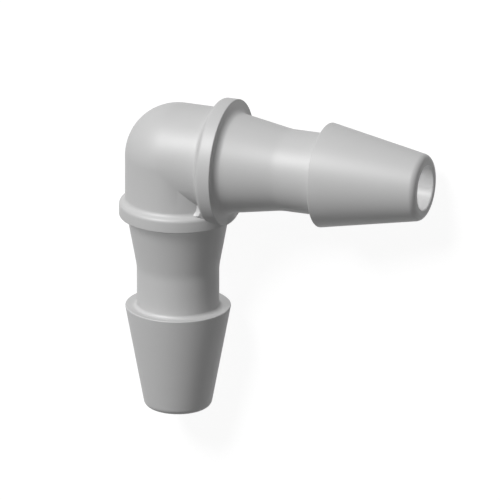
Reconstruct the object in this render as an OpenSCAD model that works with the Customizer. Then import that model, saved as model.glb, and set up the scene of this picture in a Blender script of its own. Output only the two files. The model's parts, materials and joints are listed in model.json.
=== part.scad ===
// Barbed elbow fitting for soft tubing, moulded in one piece
// Millimetres, +Z up. The fitting lies as it comes to rest, on its wide collar and both
// barbs, with the origin under the middle of it. Each leg is shaped about its own axis, and
// before it is laid down the wide-collared leg points along +X and the other along -Y.

/* [Body] */
// Outside diameter of both legs and of the ball that turns the corner
body_d = 8.5; // [7:0.1:9]
// Distance from the crossing of the axes to each mouth
leg_len = 21.25; // [20:0.25:28]
// Diameter of the passage through the fitting
bore_d = 3.55; // [2.5:0.05:3.9]
// How far the passage of the wide-collared leg runs past the other at the corner
core_overrun = 0.3; // [0.1:0.05:0.6]

/* [Wide collar] */
// Diameter of the collar on the wide-collared leg
wide_collar_d = 10.2; // [9.6:0.1:12]
// Distance from the crossing of the axes to that collar's outer face
wide_collar_face = 4.62; // [4.3:0.02:6.2]
// Width of that collar's rim
wide_collar_w = 1.2; // [0.8:0.05:1.6]

/* [Narrow collar] */
// Diameter of the collar on the narrow-collared leg
narrow_collar_d = 9.45; // [9.1:0.05:10.5]
// Distance from the crossing of the axes to that collar's outer face
narrow_collar_face = 4.98; // [4.3:0.02:6.2]
// Width of that collar's rim
narrow_collar_w = 1.05; // [0.8:0.05:1.6]

/* [Collar edges] */
// How far the back of each collar leans, as a length along the leg
collar_back_rake = 0.28; // [0.1:0.02:0.5]
// Radius of the hollow between the body and the back of each collar
collar_back_fillet = 0.4; // [0.1:0.05:0.5]
// Radius of the rounded edge at the back of each rim
rim_back_round = 0.35; // [0.1:0.05:0.5]
// Radius of the edge at the outer face of each rim
rim_face_round = 0.08; // [0.04:0.01:0.2]

/* [Neck] */
// Diameter of the neck where it meets the collar
neck_d = 8.2; // [7.4:0.1:8.8]
// Distance from the crossing of the axes to the small end of the neck
neck_end = 9.35; // [8:0.05:11]
// Radius of the hollow between the collar and the neck
neck_root_fillet = 0.8; // [0.3:0.05:0.9]
// Radius of the long curve from the neck into the stem
neck_blend = 4.8; // [1:0.1:8]

/* [Stem and barb] */
// Diameter of the straight stem behind the barb
stem_d = 6.6; // [5.6:0.1:7]
// Diameter over the barb's edge before it is rounded
barb_d = 8.5; // [7.8:0.1:9.2]
// Diameter at the mouth before its edge is rounded
tip_d = 5.3; // [5:0.1:6]
// Length of the barb's taper, from its edge to the mouth
barb_len = 8.6; // [6:0.1:10]
// How far the barb's shoulder leans, as a length along the leg
shoulder_rake = 0.15; // [0:0.05:0.6]
// Radius of the rounded edge of the barb
barb_round = 0.3; // [0.05:0.05:0.4]
// Radius in the corner between stem and shoulder
shoulder_fillet = 0.08; // [0.04:0.02:0.3]
// Radius of the outer edge of the mouth
lip_round = 0.6; // [0.1:0.05:0.7]
// Radius of the inner edge of the mouth
mouth_round = 0.12; // [0.05:0.01:0.2]

/* [Hidden] */
$fn = 96;
// Straight steps in each rounded corner of a profile
ARC_STEPS = 6;
// How far a cutter runs past the face it cuts
OVERCUT = 0.5;
// Points whose radii differ by less than this lie level
LEVEL = 0.001;
body_r = body_d / 2;
bore_r = bore_d / 2;
barb_edge = leg_len - barb_len;

// Corner of a profile, as its distance along the leg, its radius and its rounding
function corner(along, radius, round = 0) = [along, radius, round];

function unit(v) = v / norm(v);

// Points of the arc that rounds the corner at b, between its neighbours a and c
function corner_arc(a, b, c, round) =
    let (
        to_a = unit(a - b),
        to_c = unit(c - b),
        half = acos(to_a * to_c) / 2,
        room = 0.49 * min(norm(a - b), norm(c - b)),
        back = min(round / tan(half), room),
        radius = back * tan(half),
        centre = b + unit(to_a + to_c) * radius / sin(half),
        first = b + to_a * back - centre,
        last = b + to_c * back - centre,
        sweep = acos(unit(first) * unit(last)),
        way = sign(first[0] * last[1] - first[1] * last[0])
    )
    [
        for (i = [0 : ARC_STEPS])
            let (turn = way * sweep * i / ARC_STEPS)
            centre + [
                first[0] * cos(turn) - first[1] * sin(turn),
                first[0] * sin(turn) + first[1] * cos(turn)
            ]
    ];

// A list of corners as the points of an outline with each rounded corner drawn as an arc
function outline(corners) = [
    for (i = [0 : len(corners) - 1])
        let (here = [corners[i][0], corners[i][1]])
        each corners[i][2] == 0
            ? [here]
            : let (
                before = corners[i - 1],
                after = corners[i + 1]
            )
            corner_arc([before[0], before[1]], here, [after[0], after[1]], corners[i][2])
];

// Half section of a leg, from the crossing of the axes to the mouth
function leg_outline(collar_d, collar_face, collar_w) = outline([
    corner(0, body_r),
    corner(collar_face - collar_w - collar_back_rake, body_r, collar_back_fillet),
    corner(collar_face - collar_w, collar_d / 2, rim_back_round),
    corner(collar_face, collar_d / 2, rim_face_round),
    corner(collar_face, neck_d / 2, neck_root_fillet),
    corner(neck_end, stem_d / 2, neck_blend),
    corner(barb_edge - shoulder_rake, stem_d / 2, shoulder_fillet),
    corner(barb_edge, barb_d / 2, barb_round),
    corner(leg_len, tip_d / 2, lip_round),
    corner(leg_len, 0)
]);

wide_outline = leg_outline(wide_collar_d, wide_collar_face, wide_collar_w);
narrow_outline = leg_outline(narrow_collar_d, narrow_collar_face, narrow_collar_w);

// Half section of a core pin, from its inner end to past the mouth, where it flares
function core_outline(inner_end) = outline([
    corner(inner_end, bore_r),
    corner(leg_len, bore_r, mouth_round),
    corner(leg_len, tip_d / 2),
    corner(leg_len + OVERCUT, tip_d / 2),
    corner(leg_len + OVERCUT, 0)
]);

// Widest point of an outline past a given distance along the leg, the last if several are
function widest(points, past = 0) =
    let (
        beyond = [for (p = points) if (p[0] > past) p],
        top = max([for (p = beyond) p[1]]),
        level = [for (p = beyond) if (p[1] > top - LEVEL) p]
    )
    level[len(level) - 1];

// Angle to the leg of a line that rests on the leg's collar and on its barb
function rest_angle(points) =
    let (
        rim = widest(points),
        crest = widest(points, neck_end)
    )
    atan(max(0, rim[1] - crest[1]) / (crest[0] - rim[0]));

// The wider collar lifts the corner, and both legs dip alike until their barbs touch down
leg_dip = max(rest_angle(wide_outline), rest_angle(narrow_outline));
rest_tilt = asin(sqrt(2) * sin(leg_dip));

// Directions of the two legs once the fitting lies down
wide_way = [(1 + cos(rest_tilt)) / 2, (1 - cos(rest_tilt)) / 2, -sin(leg_dip)];
narrow_way = [-wide_way[1], -wide_way[0], -sin(leg_dip)];

// How far a turned leg reaches in a direction, where side is how much the leg points that way
function leg_reach(points, side) =
    max([for (p = points) p[0] * side + p[1] * sqrt(1 - side * side)]);

// How far the whole fitting reaches from the crossing of the axes in a direction
function reach(way) = max(
    body_r,
    leg_reach(wide_outline, wide_way * way),
    leg_reach(narrow_outline, narrow_way * way)
);

mid_x = (reach([1, 0, 0]) - reach([-1, 0, 0])) / 2;
mid_y = (reach([0, 1, 0]) - reach([0, -1, 0])) / 2;
rest_height = reach([0, 0, -1]);

// Turns a half section about the leg's axis, which is +Z here
module turned(points) {
    rotate_extrude()
        polygon(concat([[0, points[0][0]]], [for (p = points) [p[1], p[0]]]));
}

// Puts what stands along +Z along each leg's own direction
module along_wide_leg() {
    rotate([0, 90, 0])
        children();
}

module along_narrow_leg() {
    rotate([90, 0, 0])
        children();
}

// Outside of the fitting: two turned legs and the ball at the corner
module outside() {
    along_wide_leg()
        turned(wide_outline);
    along_narrow_leg()
        turned(narrow_outline);
    sphere(r = body_r);
}

// Passage: one core pin runs past the corner and the other ends against its side
module passage() {
    along_wide_leg()
        turned(core_outline(-bore_r - core_overrun));
    along_narrow_leg()
        turned(core_outline(0));
}

// Lays the fitting on its wide collar and both barbs, over the origin
module laid_down() {
    translate([-mid_x, -mid_y, rest_height])
        rotate(a = rest_tilt, v = [1, 1, 0])
            children();
}

module elbow() {
    color("silver")
        laid_down()
            difference() {
                outside();
                passage();
            }
}

elbow();
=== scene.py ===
"""Dresses the barbed elbow fitting and sets it in a plain studio.

The fitting is one moulding. It is turned again from its own sizes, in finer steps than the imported
solid has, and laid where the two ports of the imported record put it.
"""
import json
import logging
import math
from dataclasses import dataclass, field
from enum import Enum
from typing import Any

import bpy
from mathutils import Matrix, Vector
from mathutils.geometry import intersect_line_line


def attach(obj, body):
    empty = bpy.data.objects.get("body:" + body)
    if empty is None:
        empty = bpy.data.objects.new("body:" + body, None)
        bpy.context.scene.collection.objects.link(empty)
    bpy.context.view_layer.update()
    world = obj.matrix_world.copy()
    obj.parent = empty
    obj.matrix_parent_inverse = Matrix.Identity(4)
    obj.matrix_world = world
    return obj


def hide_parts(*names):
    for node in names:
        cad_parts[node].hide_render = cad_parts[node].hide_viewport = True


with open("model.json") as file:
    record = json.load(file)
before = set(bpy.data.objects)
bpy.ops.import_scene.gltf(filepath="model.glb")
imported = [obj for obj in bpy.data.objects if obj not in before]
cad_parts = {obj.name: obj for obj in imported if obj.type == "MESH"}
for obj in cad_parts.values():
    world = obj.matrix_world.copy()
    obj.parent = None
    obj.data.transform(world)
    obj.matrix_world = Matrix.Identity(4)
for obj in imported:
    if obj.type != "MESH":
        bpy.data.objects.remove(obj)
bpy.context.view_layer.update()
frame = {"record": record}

LOG = logging.getLogger("barbed_elbow_fitting")
MM = 0.001
Triple = tuple[float, float, float]
# Share of the shorter side beside it that a rounded corner may take up
ROUND_SHARE = 0.49
# Turns that lay a solid from +Z along each leg
WIDE_TILT: Triple = (0.0, math.pi / 2, 0.0)
NARROW_TILT: Triple = (math.pi / 2, 0.0, 0.0)


class Surface(Enum):
    """Kinds of surface that the moulding shows, by the name of their material."""

    SKIN = "satin_moulded_skin"
    # Smoother than the skin and lighter in colour; the lighter colour is painted light in the
    # passage
    PASSAGE = "polished_passage_wall"


class TreeKind(Enum):
    """Kinds of node tree that the script builds."""

    SHAPE = "GeometryNodeTree"
    SHADER = "ShaderNodeTree"


class Bench:
    """A node tree under construction, with short ways to add and join its nodes."""

    def __init__(self, tree: bpy.types.NodeTree) -> None:
        """Starts work on a tree.

        Args:
            tree: The tree that the nodes go into.
        """
        self.tree = tree
        self.entry: bpy.types.Node | None = None
        self.exit: bpy.types.Node | None = None

    @classmethod
    def group(cls, name: str, kind: TreeKind) -> "Bench":
        """Makes a new node group with its two end nodes.

        Args:
            name: Name of the group.
            kind: Whether the group makes shapes or shades them.

        Returns:
            The bench that holds the new group.
        """
        bench = cls(bpy.data.node_groups.new(name, kind.value))
        bench.entry = bench.tree.nodes.new("NodeGroupInput")
        bench.exit = bench.tree.nodes.new("NodeGroupOutput")
        return bench

    def take(self, name: str, kind: str, default: Any = None) -> bpy.types.NodeSocket:
        """Gives the group a named input.

        Args:
            name: Name of the input.
            kind: Socket type, such as NodeSocketFloat.
            default: Value used where nothing is set, if any.

        Returns:
            The socket inside the group that carries the input.
        """
        item = self.tree.interface.new_socket(name, in_out="INPUT", socket_type=kind)
        if default is not None:
            item.default_value = default
        return self.entry.outputs[name]

    def give(self, name: str, kind: str, value: bpy.types.NodeSocket) -> None:
        """Gives the group a named output.

        Args:
            name: Name of the output.
            kind: Socket type, such as NodeSocketGeometry.
            value: Socket inside the group that feeds the output.
        """
        self.tree.interface.new_socket(name, in_out="OUTPUT", socket_type=kind)
        self.feed(self.exit.inputs[name], value)

    def feed(self, socket: bpy.types.NodeSocket, value: Any) -> None:
        """Joins a socket to another one, or to several, or sets its plain value.

        Args:
            socket: The input that is fed.
            value: A socket, a list of sockets, or the value itself.
        """
        sources = value if isinstance(value, list) else [value]
        if isinstance(sources[0], bpy.types.NodeSocket):
            for source in sources:
                self.tree.links.new(source, socket)
        else:
            socket.default_value = value

    def add(
        self, kind: str, inputs: dict[str | int, Any] | None = None, **settings: Any
    ) -> bpy.types.Node:
        """Adds a node.

        Args:
            kind: Type name of the node.
            inputs: Values or sockets for its inputs, by name or by place.
            **settings: Properties of the node itself.

        Returns:
            The new node.
        """
        node = self.tree.nodes.new(kind)
        for name, value in settings.items():
            setattr(node, name, value)
        for key, value in (inputs or {}).items():
            self.feed(node.inputs[key], value)
        return node

    def math(self, operation: str, *values: Any) -> bpy.types.NodeSocket:
        """Works out a number from one, two or three others.

        Args:
            operation: Name of the operation, such as ADD.
            *values: Numbers or sockets.

        Returns:
            The socket that carries the result.
        """
        return self.add("ShaderNodeMath", dict(enumerate(values)), operation=operation).outputs[0]

    def whole(self, operation: str, first: Any, second: Any) -> bpy.types.NodeSocket:
        """Works out a whole number from two others.

        Args:
            operation: Name of the operation, such as DIVIDE_FLOOR.
            first: First number or socket.
            second: Second number or socket.

        Returns:
            The socket that carries the result.
        """
        node = self.add("FunctionNodeIntegerMath", {0: first, 1: second}, operation=operation)
        return node.outputs[0]

    def vector_math(self, operation: str, first: Any, second: Any = None) -> bpy.types.NodeSocket:
        """Works out a vector from one or two others, or from one and a number to scale it by.

        Args:
            operation: Name of the operation, such as ADD or SCALE.
            first: First vector or socket.
            second: Second vector or socket, or the number to scale by.

        Returns:
            The socket that carries the result.
        """
        inputs = {0: first}
        if second is not None:
            inputs["Scale" if operation == "SCALE" else 1] = second
        return self.add("ShaderNodeVectorMath", inputs, operation=operation).outputs[0]

    def vector(self, x: Any, y: Any, z: Any) -> bpy.types.NodeSocket:
        """Joins three numbers or sockets into a vector.

        Args:
            x: First part.
            y: Second part.
            z: Third part.

        Returns:
            The socket that carries the vector.
        """
        return self.add("ShaderNodeCombineXYZ", {0: x, 1: y, 2: z}).outputs[0]

    def pick(
        self, data_type: str, index: bpy.types.NodeSocket, values: list[Any]
    ) -> bpy.types.NodeSocket:
        """Picks one of several values by a whole number.

        Args:
            data_type: Type of the values, such as VECTOR.
            index: Socket with the number of the value.
            values: The values or sockets, first to last.

        Returns:
            The socket that carries the value picked.
        """
        node = self.add("GeometryNodeIndexSwitch", {"Index": index}, data_type=data_type)
        # The node starts with two items
        for _ in values[2:]:
            node.index_switch_items.new()
        for place, value in enumerate(values):
            self.feed(node.inputs[place + 1], value)
        return node.outputs[0]

    def use(self, tree: bpy.types.NodeTree, inputs: dict[str, Any]) -> bpy.types.Node:
        """Places a node group.

        Args:
            tree: The group.
            inputs: Values or sockets for its named inputs.

        Returns:
            The node that stands for the group.
        """
        kind = "GeometryNodeGroup" if tree.bl_idname == TreeKind.SHAPE.value else "ShaderNodeGroup"
        return self.add(kind, inputs, node_tree=tree)


@dataclass(frozen=True)
class Stance:
    """Where the moulding lies: the crossing of its two axes and the directions of its legs."""

    crossing: Vector
    wide_way: Vector
    narrow_way: Vector

    @classmethod
    def from_record(cls, record: dict[str, Any]) -> "Stance":
        """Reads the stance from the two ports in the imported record.

        Args:
            record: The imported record.

        Returns:
            The stance, in metres in the row frame.
        """
        ports = {mount["name"]: mount for mount in record["mounts"]}
        lines = []
        for name in ("wide_collar_leg_port", "narrow_collar_leg_port"):
            start = Vector(ports[name]["pos_m"])
            lines.append((start, Vector(ports[name]["axis"]).normalized()))
        (wide_start, wide_way), (narrow_start, narrow_way) = lines
        near = intersect_line_line(
            wide_start, wide_start + wide_way, narrow_start, narrow_start + narrow_way
        )
        return cls((near[0] + near[1]) / 2, wide_way, narrow_way)

    def turn(self) -> Matrix:
        """Gives the turn from the moulding's own axes, with its legs along +X and -Y."""
        across = -self.narrow_way
        return Matrix((self.wide_way, across, self.wide_way.cross(across))).transposed()


@dataclass(frozen=True)
class CollarSizes:
    """Sizes of one leg's collar, in millimetres."""

    radius: float
    face: float
    width: float


@dataclass(frozen=True)
class MouldingSizes:
    """Sizes of the moulding, in millimetres. Both legs share all but their collars.

    A negative shoulder rake undercuts the barb. The web's corners and the place of its hollow are
    points in the moulding's own axes, for the upper one of the two webs.
    """

    body_radius: float = 4.25
    mouth: float = 21.25
    bore_radius: float = 1.775
    core_overrun: float = 0.3
    wide_collar: CollarSizes = CollarSizes(radius=5.1, face=4.62, width=1.2)
    narrow_collar: CollarSizes = CollarSizes(radius=4.725, face=4.98, width=1.05)
    back_rake: float = 0.28
    back_fillet: float = 0.4
    rim_back_round: float = 0.35
    rim_face_round: float = 0.08
    neck_radius: float = 4.1
    neck_end: float = 9.35
    neck_root_fillet: float = 0.8
    neck_blend: float = 4.8
    stem_radius: float = 3.3
    barb_radius: float = 4.25
    barb_length: float = 8.6
    shoulder_rake: float = -0.16
    barb_round: float = 0.08
    shoulder_fillet: float = 0.3
    tip_radius: float = 2.65
    lip_round: float = 0.6
    mouth_round: float = 0.12
    web_low: Triple = (2.2, -4.05, 2.4)
    web_high: Triple = (3.7, -2.8, 3.6)
    web_hollow: float = 1.0
    web_hollow_place: Triple = (2.67, -2.98, 4.16)
    web_drop: float = 0.06

    def root_fillet(self, collar: CollarSizes) -> float:
        """Limits the hollow between a collar and the neck by the collar's own height.

        Args:
            collar: The collar that the neck grows out of.

        Returns:
            The fillet's radius.
        """
        height = collar.radius - self.neck_radius
        slope = math.atan2(self.neck_radius - self.stem_radius, self.neck_end - collar.face)
        half_turn = (math.pi / 2 - slope) / 2
        return min(self.neck_root_fillet, ROUND_SHARE * height / math.tan(half_turn))

    def named(self) -> dict[str, float | Triple]:
        """Lists the sizes under the names that the shape tree's inputs have."""
        values = {
            "Body Radius": self.body_radius,
            "Mouth": self.mouth,
            "Bore Radius": self.bore_radius,
            "Core Overrun": self.core_overrun,
            "Back Rake": self.back_rake,
            "Back Fillet": self.back_fillet,
            "Rim Back Round": self.rim_back_round,
            "Rim Face Round": self.rim_face_round,
            "Neck Radius": self.neck_radius,
            "Neck End": self.neck_end,
            "Neck Blend": self.neck_blend,
            "Stem Radius": self.stem_radius,
            "Barb Radius": self.barb_radius,
            "Barb Length": self.barb_length,
            "Shoulder Rake": self.shoulder_rake,
            "Barb Round": self.barb_round,
            "Shoulder Fillet": self.shoulder_fillet,
            "Tip Radius": self.tip_radius,
            "Lip Round": self.lip_round,
            "Mouth Round": self.mouth_round,
            "Web Low": self.web_low,
            "Web High": self.web_high,
            "Web Hollow": self.web_hollow,
            "Web Drop": self.web_drop,
            "Web Hollow Place": self.web_hollow_place,
        }
        for side, collar in (("Wide", self.wide_collar), ("Narrow", self.narrow_collar)):
            values[f"{side} Collar Radius"] = collar.radius
            values[f"{side} Collar Face"] = collar.face
            values[f"{side} Collar Width"] = collar.width
            values[f"{side} Root Fillet"] = self.root_fillet(collar)
        return values


@dataclass
class ShapeTrees:
    """Node groups that turn the moulding from its sizes, in millimetres.

    Each core pin runs past the mouth by overcut. Its flare leans off the leg's end by face_lean,
    so that the two never lie on each other.
    """

    turned_steps: int = 256
    arc_steps: int = 10
    web_ball_steps: int = 96
    weld: float = 0.0002
    crease_angle: float = math.radians(28)
    face_lean: float = 0.04
    overcut: float = 0.5
    web_drum_length: float = 12.0
    made: dict[str, bpy.types.NodeTree] = field(default_factory=dict)

    def turned(self) -> bpy.types.NodeTree:
        """Makes the group that turns an outline about +Z into a closed solid.

        Returns:
            A group that takes an outline, its points as distance along and radius.
        """
        if "turned" in self.made:
            return self.made["turned"]
        bench = Bench.group("turned_solid", TreeKind.SHAPE)
        outline = bench.take("Outline", "NodeSocketGeometry")
        steps = bench.take("Steps", "NodeSocketInt", self.turned_steps)
        points = bench.add("GeometryNodeAttributeDomainSize", {0: outline}, component="CURVE")
        row = bench.whole("ADD", steps, 1)
        grid = bench.add(
            "GeometryNodeMeshGrid",
            {
                "Size X": 1.0,
                "Size Y": 1.0,
                "Vertices X": points.outputs["Point Count"],
                "Vertices Y": row,
            },
        )
        index = bench.add("GeometryNodeInputIndex").outputs[0]
        place = bench.add("GeometryNodeInputPosition").outputs[0]
        point = bench.whole("DIVIDE_FLOOR", index, row)
        sample = bench.add(
            "GeometryNodeSampleIndex",
            {"Geometry": outline, "Value": place, "Index": point},
            data_type="FLOAT_VECTOR",
        )
        part = bench.add("ShaderNodeSeparateXYZ", {0: sample.outputs[0]}).outputs
        share = bench.math("DIVIDE", bench.whole("MODULO", index, row), steps)
        angle = bench.math("MULTIPLY", share, math.tau)
        moved = bench.add(
            "GeometryNodeSetPosition",
            {
                "Geometry": grid.outputs["Mesh"],
                "Position": bench.vector(
                    bench.math("MULTIPLY", part[1], bench.math("COSINE", angle)),
                    bench.math("MULTIPLY", part[1], bench.math("SINE", angle)),
                    part[0],
                ),
            },
        )
        welded = bench.add(
            "GeometryNodeMergeByDistance", {"Geometry": moved.outputs[0], "Distance": self.weld}
        )
        outward = bench.add("GeometryNodeFlipFaces", {0: welded.outputs[0]})
        bench.give("Solid", "NodeSocketGeometry", outward.outputs[0])
        self.made["turned"] = bench.tree
        return bench.tree

    def outline(
        self, bench: Bench, corners: list[tuple[Any, Any]], rounds: list[Any]
    ) -> bpy.types.NodeSocket:
        """Draws an outline through its corners and rounds each one.

        Args:
            bench: The group that the outline belongs to.
            corners: Distance along the axis and radius of each corner.
            rounds: Radius of each corner's rounding.

        Returns:
            The socket that carries the outline.
        """
        index = bench.add("GeometryNodeInputIndex").outputs[0]
        line = bench.add("GeometryNodeMeshLine", {"Count": len(corners)})
        points = [bench.vector(distance, radius, 0.0) for distance, radius in corners]
        set_out = bench.add(
            "GeometryNodeSetPosition",
            {"Geometry": line.outputs[0], "Position": bench.pick("VECTOR", index, points)},
        )
        drawn = bench.add("GeometryNodeMeshToCurve", {"Mesh": set_out.outputs[0]})
        rounded = bench.add(
            "GeometryNodeFilletCurve",
            {
                "Curve": drawn.outputs[0],
                "Count": self.arc_steps,
                "Radius": bench.pick("FLOAT", index, rounds),
                "Limit Radius": True,
            },
            mode="POLY",
        )
        return rounded.outputs[0]

    def leg(self) -> bpy.types.NodeTree:
        """Makes the group that turns one leg about +Z.

        Returns:
            A group with an input for each size of the leg.
        """
        if "leg" in self.made:
            return self.made["leg"]
        bench = Bench.group("barbed_leg", TreeKind.SHAPE)
        names = (
            "Body Radius", "Mouth", "Collar Radius", "Collar Face", "Collar Width", "Root Fillet",
            "Back Rake", "Back Fillet", "Rim Back Round", "Rim Face Round", "Neck Radius",
            "Neck End", "Neck Blend", "Stem Radius", "Barb Radius", "Barb Length", "Shoulder Rake",
            "Barb Round", "Shoulder Fillet", "Tip Radius", "Lip Round",
        )
        size = {name: bench.take(name, "NodeSocketFloat") for name in names}
        rim_back = bench.math("SUBTRACT", size["Collar Face"], size["Collar Width"])
        barb_edge = bench.math("SUBTRACT", size["Mouth"], size["Barb Length"])
        corners = [
            (0.0, 0.0),
            (0.0, size["Body Radius"]),
            (bench.math("SUBTRACT", rim_back, size["Back Rake"]), size["Body Radius"]),
            (rim_back, size["Collar Radius"]),
            (size["Collar Face"], size["Collar Radius"]),
            (size["Collar Face"], size["Neck Radius"]),
            (size["Neck End"], size["Stem Radius"]),
            (bench.math("SUBTRACT", barb_edge, size["Shoulder Rake"]), size["Stem Radius"]),
            (barb_edge, size["Barb Radius"]),
            (size["Mouth"], size["Tip Radius"]),
            (size["Mouth"], 0.0),
        ]
        rounds = [
            0.0, 0.0, size["Back Fillet"], size["Rim Back Round"], size["Rim Face Round"],
            size["Root Fillet"], size["Neck Blend"], size["Shoulder Fillet"], size["Barb Round"],
            size["Lip Round"], 0.0,
        ]
        solid = bench.use(self.turned(), {"Outline": self.outline(bench, corners, rounds)})
        bench.give("Solid", "NodeSocketGeometry", solid.outputs[0])
        self.made["leg"] = bench.tree
        return bench.tree

    def core_pin(self) -> bpy.types.NodeTree:
        """Makes the group that turns one core pin about +Z, flared at the mouth.

        Returns:
            A group with an input for each size of the pin.
        """
        if "core_pin" in self.made:
            return self.made["core_pin"]
        bench = Bench.group("core_pin", TreeKind.SHAPE)
        names = ("Inner End", "Bore Radius", "Mouth", "Mouth Round", "Tip Radius")
        size = {name: bench.take(name, "NodeSocketFloat") for name in names}
        outer = bench.math("ADD", size["Mouth"], self.overcut)
        corners = [
            (size["Inner End"], 0.0),
            (size["Inner End"], size["Bore Radius"]),
            (size["Mouth"], size["Bore Radius"]),
            (bench.math("ADD", size["Mouth"], self.face_lean), size["Tip Radius"]),
            (outer, size["Tip Radius"]),
            (outer, 0.0),
        ]
        rounds = [0.0, 0.0, size["Mouth Round"], 0.0, 0.0, 0.0]
        solid = bench.use(self.turned(), {"Outline": self.outline(bench, corners, rounds)})
        bench.give("Solid", "NodeSocketGeometry", solid.outputs[0])
        self.made["core_pin"] = bench.tree
        return bench.tree

    def along(
        self, bench: Bench, solid: bpy.types.NodeSocket, tilt: Triple
    ) -> bpy.types.NodeSocket:
        """Tilts a solid that stands along +Z.

        Args:
            bench: The group that the solid belongs to.
            solid: The socket that carries the solid.
            tilt: Turns about X, Y and Z, in radians.

        Returns:
            The socket that carries the tilted solid.
        """
        return bench.add("GeometryNodeTransform", {"Geometry": solid, "Rotation": tilt}).outputs[0]

    def combine(
        self,
        bench: Bench,
        operation: str,
        first: bpy.types.NodeSocket,
        second: bpy.types.NodeSocket,
    ) -> bpy.types.NodeSocket:
        """Joins two solids, cuts the second from the first, or keeps what both share.

        Args:
            bench: The group that the solids belong to.
            operation: UNION, DIFFERENCE or INTERSECT.
            first: The socket that carries the first solid.
            second: The socket that carries the second one.

        Returns:
            The socket that carries the result.
        """
        node = bench.add("GeometryNodeMeshBoolean", operation=operation, solver="MANIFOLD")
        if operation == "DIFFERENCE":
            bench.feed(node.inputs["Mesh 1"], first)
            bench.feed(node.inputs["Mesh 2"], second)
        else:
            bench.feed(node.inputs["Mesh 2"], [first, second])
        return node.outputs["Mesh"]

    def elbow(self, skin: bpy.types.Material, passage: bpy.types.Material) -> bpy.types.NodeTree:
        """Makes the tree of the whole moulding.

        Args:
            skin: Material of the outside.
            passage: Material of the passage wall.

        Returns:
            A tree with an input for each size, the crossing and the turn.
        """
        bench = Bench.group("moulded_elbow", TreeKind.SHAPE)
        size = {}
        for name, value in MouldingSizes().named().items():
            kind = "NodeSocketVector" if isinstance(value, tuple) else "NodeSocketFloat"
            size[name] = bench.take(name, kind)
        crossing = bench.take("Crossing", "NodeSocketVector")
        turn = bench.take("Turn", "NodeSocketVector")
        legs = []
        for side, tilt in (("Wide", WIDE_TILT), ("Narrow", NARROW_TILT)):
            inputs = {
                "Collar Radius": size[f"{side} Collar Radius"],
                "Collar Face": size[f"{side} Collar Face"],
                "Collar Width": size[f"{side} Collar Width"],
                "Root Fillet": size[f"{side} Root Fillet"],
            }
            tree = self.leg()
            for item in tree.interface.items_tree:
                if item.in_out == "INPUT" and item.name not in inputs:
                    inputs[item.name] = size[item.name]
            legs.append(self.along(bench, bench.use(tree, inputs).outputs[0], tilt))
        ball = bench.add(
            "GeometryNodeMeshUVSphere",
            {
                "Segments": self.turned_steps,
                "Rings": self.turned_steps // 2,
                "Radius": size["Body Radius"],
            },
        )
        crossed = self.combine(bench, "UNION", *legs)
        outside = self.combine(bench, "UNION", crossed, ball.outputs["Mesh"])
        for side in (1.0, -1.0):
            outside = self.combine(bench, "UNION", outside, self.corner_web(bench, size, side))
        overrun = bench.math("ADD", size["Bore Radius"], size["Core Overrun"])
        past_corner = bench.math("MULTIPLY", overrun, -1.0)
        shared = ("Bore Radius", "Mouth", "Mouth Round", "Tip Radius")
        cored = outside
        for inner_end, tilt in ((past_corner, WIDE_TILT), (0.0, NARROW_TILT)):
            inputs = {name: size[name] for name in shared}
            pin = bench.use(self.core_pin(), {**inputs, "Inner End": inner_end})
            laid_pin = self.along(bench, pin.outputs[0], tilt)
            cored = self.combine(bench, "DIFFERENCE", cored, laid_pin)
        welded = bench.add(
            "GeometryNodeMergeByDistance", {"Geometry": cored, "Distance": self.weld}
        )
        smooth = bench.add(
            "GeometryNodeSetShadeSmooth", {"Geometry": welded.outputs[0], "Shade Smooth": True}
        )
        angle = bench.add("GeometryNodeInputMeshEdgeAngle").outputs["Unsigned Angle"]
        creased = bench.add(
            "GeometryNodeSetShadeSmooth",
            {
                "Geometry": smooth.outputs[0],
                "Selection": bench.math("GREATER_THAN", angle, self.crease_angle),
                "Shade Smooth": False,
            },
            domain="EDGE",
        )
        marked = bench.add(
            "GeometryNodeStoreNamedAttribute",
            {
                "Geometry": creased.outputs[0],
                "Name": "in_passage",
                "Value": self.in_passage(bench, size, overrun),
            },
            data_type="BOOLEAN",
            domain="FACE",
        )
        laid = bench.add(
            "GeometryNodeTransform",
            {
                "Geometry": marked.outputs[0],
                "Translation": crossing,
                "Rotation": bench.add("FunctionNodeEulerToRotation", {0: turn}).outputs[0],
                "Scale": (MM, MM, MM),
            },
        )
        real = bench.add("GeometryNodeRealizeInstances", {"Geometry": laid.outputs[0]})
        skinned = bench.add(
            "GeometryNodeSetMaterial", {"Geometry": real.outputs[0], "Material": skin}
        )
        mask = bench.add(
            "GeometryNodeInputNamedAttribute", {"Name": "in_passage"}, data_type="BOOLEAN"
        )
        finished = bench.add(
            "GeometryNodeSetMaterial",
            {
                "Geometry": skinned.outputs[0],
                "Selection": mask.outputs["Attribute"],
                "Material": passage,
            },
        )
        bench.give("Geometry", "NodeSocketGeometry", finished.outputs[0])
        return bench.tree

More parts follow.
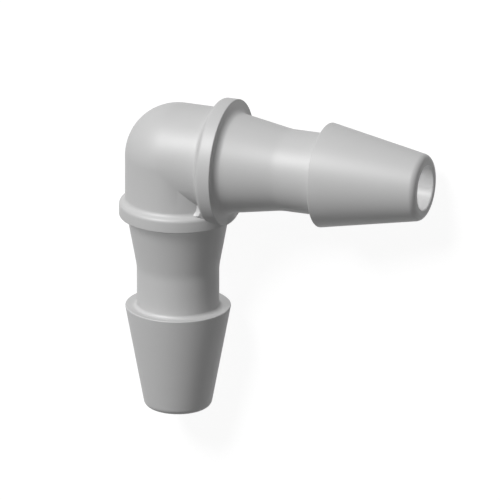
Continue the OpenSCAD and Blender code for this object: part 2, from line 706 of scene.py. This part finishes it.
    def corner_web(
        self, bench: Bench, size: dict[str, bpy.types.NodeSocket], side: float
    ) -> bpy.types.NodeSocket:
        """Makes the small hollowed web that fills the groove where the two collars meet.

        The web is a block less a ball, kept just inside the rims of both collars.

        Args:
            bench: The tree of the moulding.
            size: Its sizes, by name.
            side: 1 for the upper web, -1 for the lower one.

        Returns:
            The socket that carries the web.
        """
        low, high, middle = (
            bench.vector_math("MULTIPLY", size[name], (1.0, 1.0, side))
            for name in ("Web Low", "Web High", "Web Hollow Place")
        )
        span = bench.vector_math("SUBTRACT", high, low)
        block = bench.add("GeometryNodeMeshCube", {"Size": bench.vector_math("ABSOLUTE", span)})
        centre = bench.vector_math("SCALE", bench.vector_math("ADD", high, low), 0.5)
        placed = bench.add(
            "GeometryNodeTransform", {"Geometry": block.outputs["Mesh"], "Translation": centre}
        )
        ball = bench.add(
            "GeometryNodeMeshUVSphere",
            {
                "Segments": self.web_ball_steps,
                "Rings": self.web_ball_steps // 2,
                "Radius": size["Web Hollow"],
            },
        )
        hollow = bench.add(
            "GeometryNodeTransform", {"Geometry": ball.outputs["Mesh"], "Translation": middle}
        )
        web = self.combine(bench, "DIFFERENCE", placed.outputs[0], hollow.outputs[0])
        for name, tilt in (("Wide", WIDE_TILT), ("Narrow", NARROW_TILT)):
            drum = bench.add(
                "GeometryNodeMeshCylinder",
                {
                    "Vertices": self.turned_steps,
                    "Radius": bench.math(
                        "SUBTRACT", size[f"{name} Collar Radius"], size["Web Drop"]
                    ),
                    "Depth": self.web_drum_length,
                },
            )
            laid_drum = self.along(bench, drum.outputs["Mesh"], tilt)
            web = self.combine(bench, "INTERSECT", web, laid_drum)
        return web

    def in_passage(
        self, bench: Bench, size: dict[str, bpy.types.NodeSocket], overrun: bpy.types.NodeSocket
    ) -> bpy.types.NodeSocket:
        """Finds the faces of the passage wall.

        Args:
            bench: The tree of the moulding.
            size: Its sizes, by name.
            overrun: How far the passage runs past the crossing.

        Returns:
            The socket that is true on the passage's faces.
        """
        part = bench.add(
            "ShaderNodeSeparateXYZ", {0: bench.add("GeometryNodeInputPosition").outputs[0]}
        ).outputs
        limit = bench.math("ADD", size["Bore Radius"], size["Mouth Round"])
        reach = bench.math("ADD", overrun, size["Mouth Round"])
        found = []
        narrow_way = bench.math("MULTIPLY", part[1], -1.0)
        for outward, other in ((part[0], part[1]), (narrow_way, part[0])):
            squares = [bench.math("POWER", side, 2.0) for side in (other, part[2])]
            near = bench.math("LESS_THAN", bench.math("SQRT", bench.math("ADD", *squares)), limit)
            within = bench.math("GREATER_THAN", bench.math("ADD", outward, reach), 0.0)
            found.append(bench.math("MULTIPLY", near, within))
        return bench.math("MAXIMUM", found[0], found[1])


@dataclass(frozen=True)
class MouldedFinish:
    """Finish of a moulded surface in one grey plastic, its grain depth in millimetres."""

    surface: Surface
    colour: Triple
    roughness: float
    grain_per_mm: float
    grain_depth: float
    mottle_per_mm: float
    mottle: float
    specular: float = 0.5

    def material(self, texture: bpy.types.NodeTree) -> bpy.types.Material:
        """Makes the material.

        Args:
            texture: The node group of moulded texture.

        Returns:
            The material of this surface.
        """
        material = bpy.data.materials.new(self.surface.value)
        material.use_nodes = True
        bench = Bench(material.node_tree)
        bench.tree.nodes.clear()
        coords = bench.add("ShaderNodeTexCoord").outputs["Object"]
        moulded = bench.use(
            texture,
            {
                "Coordinates": coords,
                "Colour": (*self.colour, 1.0),
                "Roughness": self.roughness,
                "Grain per Millimetre": self.grain_per_mm,
                "Mottle per Millimetre": self.mottle_per_mm,
                "Mottle": self.mottle,
            },
        )
        bump = bench.add(
            "ShaderNodeBump",
            {
                "Strength": 1.0,
                "Distance": self.grain_depth * MM,
                "Height": moulded.outputs["Height"],
            },
        )
        shader = bench.add(
            "ShaderNodeBsdfPrincipled",
            {
                "Base Color": moulded.outputs["Colour"],
                "Roughness": moulded.outputs["Roughness"],
                "Specular IOR Level": self.specular,
                "Normal": bump.outputs[0],
            },
        )
        bench.add("ShaderNodeOutputMaterial", {"Surface": shader.outputs[0]})
        return material


def moulded_texture() -> bpy.types.NodeTree:
    """Makes the shader group of fine moulded grain and faint flow mottle.

    The mottle lightens and darkens the colour a little and dulls the gloss with it, and the grain
    adds weaker specks of its own.

    Returns:
        A group that gives a colour, a roughness and a height.
    """
    noise_middle = 0.5
    grain_share = 0.6
    dulling = 1.5
    bench = Bench.group("moulded_texture", TreeKind.SHADER)
    coords = bench.take("Coordinates", "NodeSocketVector")
    colour = bench.take("Colour", "NodeSocketColor")
    roughness = bench.take("Roughness", "NodeSocketFloat")
    grain_per_mm = bench.take("Grain per Millimetre", "NodeSocketFloat")
    mottle_per_mm = bench.take("Mottle per Millimetre", "NodeSocketFloat")
    mottle = bench.take("Mottle", "NodeSocketFloat")
    in_mm = bench.vector_math("SCALE", coords, 1 / MM)
    grain = bench.add(
        "ShaderNodeTexNoise",
        {"Vector": in_mm, "Scale": grain_per_mm, "Detail": 3.0, "Roughness": 0.6},
    ).outputs["Fac"]
    flow = bench.add(
        "ShaderNodeTexNoise",
        {"Vector": in_mm, "Scale": mottle_per_mm, "Detail": 2.0, "Distortion": 0.8},
    ).outputs["Fac"]
    drift = bench.math("MULTIPLY", bench.math("SUBTRACT", flow, noise_middle), mottle)
    speck_swing = bench.math("MULTIPLY", mottle, grain_share)
    speck = bench.math("MULTIPLY", bench.math("SUBTRACT", grain, noise_middle), speck_swing)
    level = bench.math("ADD", bench.math("ADD", drift, speck), 1.0)
    dulled = bench.math("ADD", roughness, bench.math("MULTIPLY", drift, dulling))
    bench.give("Colour", "NodeSocketColor", bench.vector_math("SCALE", colour, level))
    bench.give("Roughness", "NodeSocketFloat", dulled)
    bench.give("Height", "NodeSocketFloat", grain)
    return bench.tree


@dataclass
class ElbowFitting:
    """The moulded fitting: a ball corner, two turned barbed legs and the passage through them."""

    stance: Stance
    sizes: MouldingSizes = MouldingSizes()
    skin: MouldedFinish = MouldedFinish(
        surface=Surface.SKIN,
        colour=(0.5, 0.5, 0.5),
        roughness=0.52,
        specular=0.85,
        grain_per_mm=9.0,
        grain_depth=0.004,
        mottle_per_mm=0.35,
        mottle=0.05,
    )
    passage: MouldedFinish = MouldedFinish(
        surface=Surface.PASSAGE,
        # Same plastic as the skin; the lighter grey is painted light that brightens the passage
        # wall
        colour=(0.74, 0.74, 0.74),
        roughness=0.42,
        grain_per_mm=5.0,
        grain_depth=0.002,
        mottle_per_mm=0.5,
        mottle=0.04,
    )

    def build(self) -> bpy.types.Object:
        """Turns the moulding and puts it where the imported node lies.

        Returns:
            The finished piece, as a plain mesh.
        """
        texture = moulded_texture()
        tree = ShapeTrees().elbow(self.skin.material(texture), self.passage.material(texture))
        values: dict[str, Any] = dict(self.sizes.named())
        values["Crossing"] = tuple(self.stance.crossing)
        values["Turn"] = tuple(self.stance.turn().to_euler())
        draft = bpy.data.objects.new("elbow_draft", bpy.data.meshes.new("elbow_draft"))
        bpy.context.scene.collection.objects.link(draft)
        modifier = draft.modifiers.new("moulded_elbow", "NODES")
        modifier.node_group = tree
        for item in tree.interface.items_tree:
            if item.in_out == "INPUT":
                modifier[item.identifier] = values[item.name]
        ready = draft.evaluated_get(bpy.context.evaluated_depsgraph_get())
        mesh = bpy.data.meshes.new_from_object(ready)
        bpy.data.objects.remove(draft)
        piece = bpy.data.objects.new("moulded_elbow", mesh)
        bpy.context.scene.collection.objects.link(piece)
        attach(piece, "root")
        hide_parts("elbow")
        return piece


@dataclass(frozen=True)
class View:
    """The camera, set where the photograph was taken from, without perspective.

    The frame's width and the camera's distance are in metres. The place of the crossing in the
    picture, right of and above its middle, is in millimetres.
    """

    stance: Stance
    azimuth: float = math.radians(21.26)
    elevation: float = math.radians(20.05)
    frame_width: float = 0.040
    crossing_right: float = -5.754
    crossing_up: float = 7.589
    distance: float = 0.25

    def axes(self) -> tuple[Vector, Vector, Vector]:
        """Gives the camera's right, up and backward directions in the row frame."""
        sin_a, cos_a = math.sin(self.azimuth), math.cos(self.azimuth)
        sin_e, cos_e = math.sin(self.elevation), math.cos(self.elevation)
        own = (
            Vector((cos_a, 0.0, -sin_a)),
            Vector((-sin_a * sin_e, cos_e, -cos_a * sin_e)),
            Vector((sin_a * cos_e, sin_e, cos_a * cos_e)),
        )
        right, up, back = (self.stance.turn() @ way for way in own)
        return right, up, back

    def place(self) -> bpy.types.Object:
        """Adds the camera to the scene.

        Returns:
            The camera object.
        """
        right, up, back = self.axes()
        data = bpy.data.cameras.new("camera")
        data.type = "ORTHO"
        data.ortho_scale = self.frame_width
        data.clip_start = MM
        camera = bpy.data.objects.new("camera", data)
        middle = self.stance.crossing - (right * self.crossing_right + up * self.crossing_up) * MM
        turn = Matrix((right, up, back)).transposed().to_4x4()
        camera.matrix_world = Matrix.Translation(middle + back * self.distance) @ turn
        bpy.context.scene.collection.objects.link(camera)
        bpy.context.scene.camera = camera
        return camera


@dataclass(frozen=True)
class Lamp:
    """A soft lamp far off, its direction given as right, up and towards the camera."""

    name: str
    way: Triple
    strength: float
    spread: float
    shadows: bool = True

    def place(self, view: View) -> bpy.types.Object:
        """Adds the lamp to the scene.

        Args:
            view: The camera's view that the direction is given in.

        Returns:
            The lamp object.
        """
        right, up, back = view.axes()
        way = right * self.way[0] + up * self.way[1] + back * self.way[2]
        data = bpy.data.lights.new(self.name, "SUN")
        data.energy = self.strength
        data.angle = self.spread
        data.use_shadow = self.shadows
        lamp = bpy.data.objects.new(self.name, data)
        lamp.matrix_world = way.to_track_quat("Z", "Y").to_matrix().to_4x4()
        bpy.context.scene.collection.objects.link(lamp)
        return lamp


@dataclass(frozen=True)
class Studio:
    """A pale floor that reads as white, even light all round, and two lamps from the upper left.

    The key lamp casts the shadow. The fill lamp casts none and lights the passage as well.
    """

    floor_size: float = 0.8
    floor_tone: float = 0.34
    floor_lift: float = 0.755
    room_light: float = 0.10
    upper_left: Triple = (-0.51, 0.505, 0.697)
    key_strength: float = 1.25
    key_spread: float = math.radians(24)
    fill_strength: float = 1.95
    fill_spread: float = math.radians(12)

    def lamps(self, view: View) -> list[bpy.types.Object]:
        """Adds the two lamps.

        Args:
            view: The camera's view that their direction is given in.

        Returns:
            The lamp objects.
        """
        key = Lamp("key_lamp", self.upper_left, self.key_strength, self.key_spread)
        fill = Lamp(
            "fill_lamp", self.upper_left, self.fill_strength, self.fill_spread, shadows=False
        )
        return [lamp.place(view) for lamp in (key, fill)]

    def seen_directly(self, bench: Bench) -> bpy.types.NodeSocket:
        """Finds the rays that show the background: from the camera, in gloss or through glass.

        Args:
            bench: The material or world that asks.

        Returns:
            The socket that is 1 for such rays.
        """
        rays = bench.add("ShaderNodeLightPath").outputs
        mirrored = bench.math("MAXIMUM", rays["Is Glossy Ray"], rays["Is Transmission Ray"])
        return bench.math("MAXIMUM", rays["Is Camera Ray"], mirrored)

    def floor(self) -> bpy.types.Object:
        """Adds the floor that the fitting lies on.

        Returns:
            The floor object.
        """
        half = self.floor_size / 2
        corners = [(-half, -half, 0), (half, -half, 0), (half, half, 0), (-half, half, 0)]
        mesh = bpy.data.meshes.new("studio_floor")
        mesh.from_pydata(corners, [], [(0, 1, 2, 3)])
        floor = bpy.data.objects.new("studio_floor", mesh)
        bpy.context.scene.collection.objects.link(floor)
        material = bpy.data.materials.new("pale_floor")
        material.use_nodes = True
        bench = Bench(material.node_tree)
        bench.tree.nodes.clear()
        body = bench.add("ShaderNodeBsdfDiffuse", {"Color": (self.floor_tone,) * 3 + (1.0,)})
        lift = bench.add(
            "ShaderNodeEmission",
            {"Strength": bench.math("MULTIPLY", self.seen_directly(bench), self.floor_lift)},
        )
        whole = bench.add("ShaderNodeAddShader", {0: body.outputs[0], 1: lift.outputs[0]})
        bench.add("ShaderNodeOutputMaterial", {"Surface": whole.outputs[0]})
        mesh.materials.append(material)
        return floor

    def room(self) -> bpy.types.World:
        """Sets the light of the room and the white behind it.

        Returns:
            The world.
        """
        world = bpy.data.worlds.new("even_room")
        world.use_nodes = True
        bench = Bench(world.node_tree)
        bench.tree.nodes.clear()
        extra = bench.math("MULTIPLY", self.seen_directly(bench), 1.0 - self.room_light)
        light = bench.add(
            "ShaderNodeBackground",
            {"Color": (1.0, 1.0, 1.0, 1.0), "Strength": bench.math("ADD", extra, self.room_light)},
        )
        bench.add("ShaderNodeOutputWorld", {"Surface": light.outputs[0]})
        bpy.context.scene.world = world
        return world


def main() -> None:
    """Builds the fitting and its studio."""
    logging.basicConfig(level=logging.INFO, format="%(name)s: %(message)s")
    bpy.context.scene.view_settings.view_transform = "Standard"
    stance = Stance.from_record(frame["record"])
    piece = ElbowFitting(stance).build()
    mesh = piece.data
    LOG.info("%s: %d vertices, %d faces", piece.name, len(mesh.vertices), len(mesh.polygons))
    view = View(stance)
    view.place()
    studio = Studio()
    studio.lamps(view)
    studio.floor()
    studio.room()


if __name__ == "__main__":
    main()
